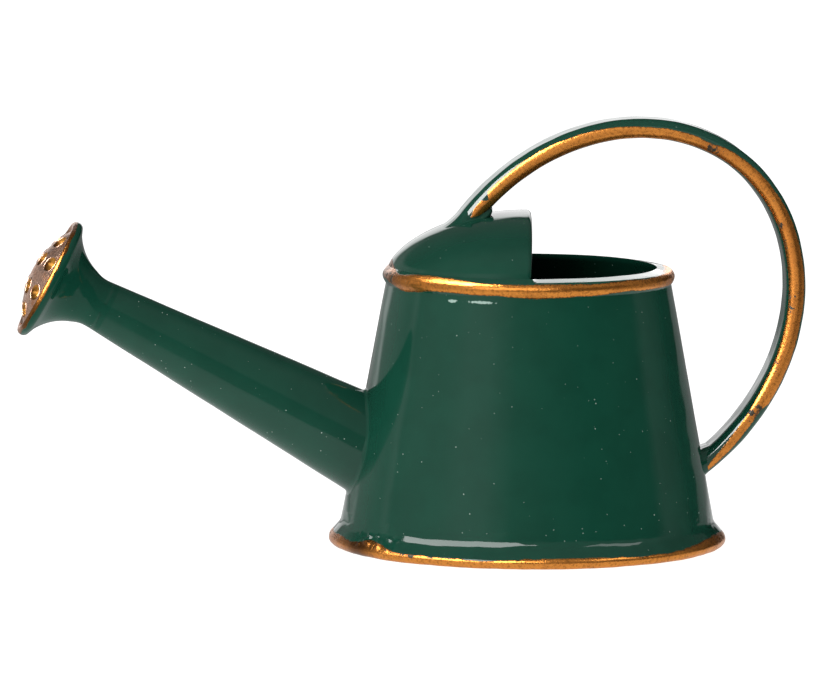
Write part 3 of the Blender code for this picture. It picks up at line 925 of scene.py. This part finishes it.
# ---- materials
class Tree:
    """Short way to add and link the nodes of one material or world."""

    def __init__(self, owner):
        owner.use_nodes = True
        self.owner = owner
        self.tree = owner.node_tree
        self.shader = self.tree.nodes.get("Principled BSDF")
        self.coordinates = self.add("ShaderNodeTexCoord")
        place = self.coordinates.outputs["Object"]
        self.place = self.add("ShaderNodeVectorMath", {0: place, "Scale": 1.0 / MM}, operation="SCALE")

    def add(self, kind, inputs=None, **settings):
        node = self.tree.nodes.new(kind)
        for key, value in settings.items():
            setattr(node, key, value)
        for key, value in (inputs or {}).items():
            self.give(node.inputs[key], value)
        return node

    def give(self, socket, value):
        if isinstance(value, bpy.types.NodeSocket):
            self.tree.links.new(value, socket)
        elif isinstance(value, bpy.types.Node):
            self.tree.links.new(value.outputs[0], socket)
        else:
            socket.default_value = value

    def attribute(self, name):
        return self.add("ShaderNodeAttribute", attribute_name=name).outputs["Fac"]

    def math(self, operation, a, b=0.0, c=0.0):
        return self.add("ShaderNodeMath", {0: a, 1: b, 2: c}, operation=operation)

    def noise(self, size, detail=2.0, roughness=0.5):
        """Noise from 0 to 1 whose lumps are size millimetres across."""
        inputs = {"Vector": self.place, "Scale": 1.0 / size, "Detail": detail, "Roughness": roughness}
        return self.add("ShaderNodeTexNoise", inputs)

    def step(self, value, low, high, to_low=0.0, to_high=1.0):
        """Smooth step of a value between two edges."""
        inputs = {0: value, 1: low, 2: high, 3: to_low, 4: to_high}
        return self.add("ShaderNodeMapRange", inputs, interpolation_type="SMOOTHSTEP")

    def mix(self, share, first, second, kind="RGBA"):
        """Colour mixed by share, or a number where kind is FLOAT."""
        node = self.add("ShaderNodeMix", {0: share}, data_type=kind)
        wanted = "VALUE" if kind == "FLOAT" else kind
        for socket, value in zip([s for s in node.inputs[1:] if s.type == wanted], (first, second)):
            self.give(socket, value)
        return [s for s in node.outputs if s.type == wanted][0]

    def blend(self, share, first, second):
        return self.mix(share, first, second, "FLOAT")


def rgb(red, green, blue):
    return (red, green, blue, 1.0)


LACQUER = rgb(0.0065, 0.066, 0.040)
LACQUER_DEEP = rgb(0.0056, 0.059, 0.0355)
# Pale colour of the lacquer's small specks: a painted glint.
LACQUER_GLINT = rgb(0.42, 0.55, 0.48)
# Pale colour of the painted highlights under the rim.
LACQUER_PAINTED_HIGHLIGHT = rgb(0.40, 0.56, 0.49)
# Near-black colour of the painted shade inside the mouth.
LACQUER_PAINTED_SHADE = rgb(0.0010, 0.006, 0.0035)
GOLD = rgb(0.93, 0.345, 0.062)
COPPER = rgb(0.60, 0.20, 0.038)
BRONZE = rgb(0.14, 0.050, 0.010)
VERDIGRIS = rgb(0.022, 0.024, 0.012)
ROSE_GOLD = rgb(0.80, 0.50, 0.37)
# Gold paint in the rose's dimples, as bright as a colour can be: its own gold with a painted highlight in
# it.
DIMPLE_GOLD_AND_HIGHLIGHT = rgb(1.0, 0.47, 0.085)


def lacquer_look(tree, base=LACQUER, deep=LACQUER_DEEP):
    """Colour, roughness and height of thick glossy lacquer with a few pinholes and specks; the specks are
    raised a little and their pale colour is a painted glint.
    """
    cloud = tree.step(tree.noise(4.0, 3.0), 0.35, 0.7)
    colour = tree.mix(cloud, base, deep)
    cells = tree.add("ShaderNodeTexVoronoi", {"Vector": tree.place, "Scale": 1.0 / 0.6})
    chance = tree.add("ShaderNodeSeparateColor", {0: cells.outputs["Color"]})
    crowd = tree.math("MULTIPLY_ADD", tree.noise(6.0, 1.0), 1.2, chance.outputs[0])
    chosen = tree.math("GREATER_THAN", crowd, 1.30)
    size = tree.math("MULTIPLY_ADD", chance.outputs[1], 0.07, 0.05)
    dot = tree.math("LESS_THAN", cells.outputs["Distance"], size)
    # Small raised specks, coloured pale as painted glints.
    glint_speck = tree.math("MULTIPLY", chosen, dot)
    strength = tree.math("MULTIPLY", glint_speck, chance.outputs[2])
    # Painted shade inside the mouth, read from the attribute inside.
    inside = tree.attribute("inside")
    colour = tree.mix(tree.math("MULTIPLY", inside, 0.85), colour, LACQUER_PAINTED_SHADE)
    colour = tree.mix(strength, colour, LACQUER_GLINT)
    roughness = tree.step(tree.noise(1.5, 3.0), 0.3, 0.8, 0.055, 0.10)
    height = tree.math("MULTIPLY_ADD", glint_speck, 0.5, tree.noise(1.6, 2.0))
    return colour, roughness, height


def gold_look(tree, tone):
    """Colour, metal, roughness and height of brushed-on antique gold paint with patina."""
    mottle = tree.noise(1.6, 3.0, 0.6)
    grain = tree.noise(0.26, 3.0, 0.65)
    warm = tree.step(mottle, 0.45, 0.75, 0.0, 0.6)
    colour = tree.mix(warm, tone, COPPER)
    worn = tree.attribute("worn")
    colour = tree.mix(tree.math("MULTIPLY", worn, 0.85), colour, COPPER)
    # Darkened to bronze by an attribute: real stains on the rim and the foot, painted shade in the rose's
    # dimples, and a darker stretch round the rose's edge.
    stain_and_shade = tree.attribute("stain_and_shade")
    colour = tree.mix(stain_and_shade, colour, BRONZE)
    darkening = tree.noise(1.2, 4.0, 0.68)
    amount = tree.math("ADD", darkening, tree.math("MULTIPLY", worn, 0.18))
    patina = tree.step(amount, 0.68, 0.73)
    aged = tree.mix(tree.step(tree.noise(0.6, 2.0), 0.45, 0.6), BRONZE, VERDIGRIS)
    colour = tree.mix(patina, colour, aged)
    dark_grain = tree.step(grain, 0.36, 0.50)
    colour = tree.mix(dark_grain, tree.mix(0.42, colour, BRONZE), colour)
    metal = tree.blend(patina, 0.88, 0.2)
    roughness = tree.blend(patina, tree.step(mottle, 0.3, 0.7, 0.19, 0.29), 0.45)
    return colour, metal, roughness, grain


def painted_material(name, tone, dimple_tone=None, painted_highlights=(), ior=1.5):
    """Green lacquer with gold paint wherever the attribute gold is above zero.

    Each painted highlight is a pale mark in the lacquer in place of a reflection: its centre and its half
    sizes in millimetres.
    """
    tree = Tree(bpy.data.materials.new(name))
    if dimple_tone is not None:
        dimple = tree.attribute("dimple")
        tone = tree.mix(dimple, tone, dimple_tone)
    green, green_rough, green_height = lacquer_look(tree)
    # Painted highlights: pale marks in the lacquer in place of a reflection.
    for centre, half_sizes in painted_highlights:
        away = tree.add("ShaderNodeVectorMath", {0: tree.place, 1: centre}, operation="SUBTRACT")
        away = tree.add("ShaderNodeVectorMath", {0: away, 1: half_sizes}, operation="DIVIDE")
        away = tree.add("ShaderNodeVectorMath", {0: away}, operation="LENGTH").outputs["Value"]
        rough = tree.math("MULTIPLY_ADD", tree.noise(0.25, 4.0, 0.7), 2.4, -1.2)
        highlight_mask = tree.step(tree.math("ADD", away, rough), 0.8, 1.05, 1.0, 0.0)
        green = tree.mix(highlight_mask, green, LACQUER_PAINTED_HIGHLIGHT)
    gold, metal, gold_rough, gold_height = gold_look(tree, tone)
    edge = tree.attribute("gold")
    ragged = tree.math("MULTIPLY_ADD", tree.noise(0.35, 3.0, 0.7), 0.20, -0.10)
    mask = tree.step(tree.math("ADD", edge, ragged), -0.02, 0.03)
    colour = tree.mix(mask, green, gold)
    thin = tree.math("ADD", edge, tree.math("MULTIPLY_ADD", tree.noise(0.25, 3.0, 0.7), 0.5, -0.25))
    rim = tree.step(thin, 0.0, 0.10)
    colour = tree.mix(tree.math("MULTIPLY", mask, tree.math("SUBTRACT", 1.0, rim)), colour, BRONZE)
    tree.give(tree.shader.inputs["Base Color"], colour)
    tree.give(tree.shader.inputs["IOR"], ior)
    tree.give(tree.shader.inputs["Metallic"], tree.math("MULTIPLY", mask, metal))
    tree.give(tree.shader.inputs["Roughness"], tree.blend(mask, green_rough, gold_rough))
    height = tree.blend(mask, tree.math("MULTIPLY", green_height, 0.06), gold_height)
    bump = tree.add("ShaderNodeBump", {"Height": height, "Distance": 0.00004, "Strength": 0.6})
    tree.give(tree.shader.inputs["Normal"], bump)
    return tree.owner


def lacquer_material(name, base, deep):
    tree = Tree(bpy.data.materials.new(name))
    colour, roughness, height = lacquer_look(tree, base, deep)
    tree.give(tree.shader.inputs["Base Color"], colour)
    tree.give(tree.shader.inputs["Roughness"], roughness)
    bump = tree.add("ShaderNodeBump", {"Height": height, "Distance": 0.000003, "Strength": 0.5})
    tree.give(tree.shader.inputs["Normal"], bump)
    return tree.owner


# ---- stage, light and camera
def make_floor():
    """White table; a second sheet, which only reflections see, is dimmer and ends near the can."""
    far = 3.0
    near = 0.055
    left = 0.075
    table = flat_sheet("floor", (-far, -far), (far, far), -0.00002, 0.35, 1.0)
    table.visible_glossy = False
    mirrored = flat_sheet("floor_in_reflections", (-left, -near), (far, far), -0.0001, 0.0, 0.65, 0.22)
    mirrored.visible_camera = False
    mirrored.visible_diffuse = False
    mirrored.visible_shadow = False


def flat_sheet(name, low, high, height, colour, glow, far_glow=None):
    """Glowing sheet; the glow may fade away from the can to far_glow."""
    mesh = bpy.data.meshes.new(name)
    corners = ((low[0], low[1]), (high[0], low[1]), (high[0], high[1]), (low[0], high[1]))
    mesh.from_pydata([(x, y, height) for x, y in corners], [], [(0, 1, 2, 3)])
    tree = Tree(bpy.data.materials.new(name))
    tree.give(tree.shader.inputs["Base Color"], rgb(colour, colour, colour))
    tree.give(tree.shader.inputs["Roughness"], 0.6)
    tree.give(tree.shader.inputs["Specular IOR Level"], 0.0)
    tree.give(tree.shader.inputs["Emission Color"], rgb(1.0, 1.0, 1.0))
    if far_glow is not None:
        away = tree.add("ShaderNodeVectorMath", {0: tree.place}, operation="LENGTH").outputs["Value"]
        glow = tree.step(away, 42.0, 95.0, glow, far_glow)
    tree.give(tree.shader.inputs["Emission Strength"], glow)
    mesh.materials.append(tree.owner)
    return add_object(name, mesh)


# Brightness of the room round the table: (degrees to the left of the camera side, glow).
ROOM_GLOW = (
    (-180, 0.0), (-125, 0.02), (-112, 0.10), (-97, 0.20), (-88, 0.04), (-40, 0.03), (-10, 0.10),
    (10, 0.18), (30, 0.50), (45, 0.54), (60, 0.40), (85, 0.34), (96, 0.26), (101, 0.46), (108, 0.28),
    (125, 0.30), (150, 0.25), (180, 0.0),
)
CEILING_GLOW = (0.26, 0.08)
# The paper behind the can: its glow, and how far it reaches up and to the sides (directions).
PAPER_GLOW = 1.25
PAPER_MIDDLE = -0.04
PAPER_TOP = 0.33
PAPER_LEFT = 0.70
PAPER_RIGHT = 0.52


def make_world():
    """Bright paper behind the can, a dim room in front of it and above."""
    world = bpy.data.worlds.new("studio")
    bpy.context.scene.world = world
    tree = Tree(world)
    right, back, up = tree.add("ShaderNodeSeparateXYZ", {0: tree.coordinates.outputs["Generated"]}).outputs

    turn = tree.math("ARCTAN2", tree.math("MULTIPLY", right, -1.0), tree.math("MULTIPLY", back, -1.0))
    share = tree.add("ShaderNodeMapRange", {0: turn, 1: -math.pi, 2: math.pi})
    ramp = tree.add("ShaderNodeValToRGB", {0: share})
    stops = ramp.color_ramp.elements
    while len(stops) > 1:
        stops.remove(stops[-1])
    for i, (azimuth, glow) in enumerate(ROOM_GLOW):
        place = (azimuth + 180.0) / 360.0
        stop = stops[0] if i == 0 else stops.new(place)
        stop.position = place
        stop.color = rgb(glow, glow, glow)
    low = tree.step(up, 0.27, 0.36, 1.0, 0.0)
    walls = tree.math("MULTIPLY", ramp, low)
    ceiling = tree.step(back, -0.2, 0.6, *CEILING_GLOW)
    room = tree.math("ADD", walls, tree.math("MULTIPLY", ceiling, tree.math("SUBTRACT", 1.0, low)))

    offset = tree.math("SUBTRACT", right, PAPER_MIDDLE)
    to_right = tree.math("MULTIPLY", offset, 1.0 / PAPER_RIGHT)
    aside = tree.math("MAXIMUM", to_right, tree.math("MULTIPLY", offset, -1.0 / PAPER_LEFT))
    level = tree.math("MULTIPLY", tree.math("MAXIMUM", up, 0.0), 1.0 / PAPER_TOP)
    paper = tree.step(tree.math("ADD", level, aside), 0.76, 1.0, PAPER_GLOW, 0.0)
    # The paper is only at the back, and dimmer at its two ends and below the horizon.
    for value, limits in ((back, (0.0, 0.2, 0.0, 1.0)), (right, (0.06, 0.25, 1.0, 0.38)),
                          (right, (-0.28, -0.12, 0.68, 1.0)), (up, (-0.03, 0.0, 0.42, 1.0))):
        paper = tree.math("MULTIPLY", paper, tree.step(value, *limits))
    background = tree.tree.nodes["Background"]
    tree.give(background.inputs["Strength"], tree.math("MAXIMUM", room, paper))
    tree.give(background.inputs["Color"], rgb(1.0, 1.0, 1.0))


def direction(azimuth, elevation):
    """Unit vector; azimuth 0 is towards the camera side and 90 is to the left of it."""
    turn, lift = math.radians(azimuth), math.radians(elevation)
    return Vector((-math.sin(turn) * math.cos(lift), -math.cos(turn) * math.cos(lift), math.sin(lift)))


def softbox(name, azimuth, elevation, width, height, radiance, pieces=()):
    """Soft rectangular light one metre away.

    Without pieces it lights everything and has no reflection; with them, it is only a
    reflection, and only in those pieces.
    """
    light = bpy.data.lights.new(name, "AREA")
    light.shape = "RECTANGLE"
    light.size = width
    light.size_y = height
    light.energy = radiance * width * height * 4.0
    item = add_object(name, light)
    target = Vector((0.0, 0.0, 0.02))
    item.location = target + direction(azimuth, elevation)
    item.rotation_euler = (item.location - target).to_track_quat("Z", "Y").to_euler()
    item.visible_camera = False
    item.visible_glossy = bool(pieces)
    item.visible_diffuse = not pieces
    if pieces:
        group = bpy.data.collections.new(name + "_lights")
        for piece in pieces:
            group.objects.link(bpy.data.objects[piece])
        item.light_linking.receiver_collection = group


def make_lights():
    rose = ("rose_rim_skin", "rose_face_skin")
    rim = ("rim_bead_skin",) + rose
    strap = ("handle_strap_skin",)
    foot = ("foot_skin",)
    softbox("sky", 55.0, 55.0, 1.2, 1.0, 1.7)
    softbox("rim_light", 72.0, 47.0, 0.7, 0.3, 14.0, rim)
    softbox("rose_light", 67.0, 20.0, 0.4, 0.4, 11.0, rose)
    softbox("strap_light", 47.0, 35.0, 0.7, 0.7, 13.0, strap)
    softbox("strap_fill", 15.0, 2.0, 2.2, 1.6, 0.36, strap)
    softbox("foot_light", 48.0, 37.0, 1.5, 0.62, 5.2, foot)
    softbox("foot_light_right", -66.0, 42.0, 0.5, 0.25, 1.8, foot)
    softbox("front_light", 12.0, 12.0, 1.0, 0.6, 1.0, rim)
    softbox("lip_light", 180.0, 22.0, 1.0, 0.45, 1.75, ("wall_skin", "rim_bead_skin"))


CAMERA_PLACE = (-0.01192, -0.731, 0.1025)
CAMERA_PITCH = 6.4
CAMERA_ROLL = 0.22
CAMERA_LENS = 314.945
CAMERA_SENSOR = 36.0


def make_camera():
    camera = bpy.data.cameras.new("camera")
    camera.sensor_width = CAMERA_SENSOR
    camera.lens = CAMERA_LENS
    camera.clip_end = 20.0
    item = add_object("camera", camera)
    item.location = CAMERA_PLACE
    pitch = Matrix.Rotation(math.radians(90.0 - CAMERA_PITCH), 3, "X")
    roll = Matrix.Rotation(math.radians(CAMERA_ROLL), 3, "Z")
    item.rotation_euler = (pitch @ roll).to_euler()
    bpy.context.scene.camera = item


def main():
    make_camera()
    green = lacquer_material("green_lacquer", LACQUER, LACQUER_DEEP)
    dark = lacquer_material("dark_lacquer", rgb(0.005, 0.030, 0.020), rgb(0.003, 0.018, 0.012))
    gold = painted_material("lacquer_and_gold", GOLD)
    rose_gold = painted_material("rose_gold", ROSE_GOLD, DIMPLE_GOLD_AND_HIGHLIGHT)

    make_wall(painted_material("lacquer_and_gold_painted_highlights", GOLD, painted_highlights=WALL_PAINTED_HIGHLIGHTS))
    make_foot(gold)
    make_base(dark)
    make_bead(gold)
    make_hood(gold)
    make_spout(green)
    make_root_solder(green)
    rose_edge = painted_material("lacquer_and_gold_rose", GOLD, ROSE_GOLD, ior=1.33)
    make_bell(rose_edge)
    make_rose_rim(rose_edge)
    make_rose_face(rose_gold)
    make_handle(gold)
    rear = ("handle_rear_fillet", "handle_rear_solder", above_wall, HANDLE_START, -80.0)
    make_handle_solder(*rear, (0.35, 0.40, 0.85), green)
    front = ("handle_front_fillet", "handle_front_solder", above_hood, HANDLE_END + 4.0, 78.0)
    make_handle_solder(*front, (1.30, 0.45, 0.75), green)
    for node in ("base_seam_solder", "hood_seam_solder"):
        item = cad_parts[node]
        item.data.materials.clear()
        item.data.materials.append(dark)

    make_floor()
    make_world()
    make_lights()
    view = bpy.context.scene.view_settings
    view.view_transform = "Standard"


main()
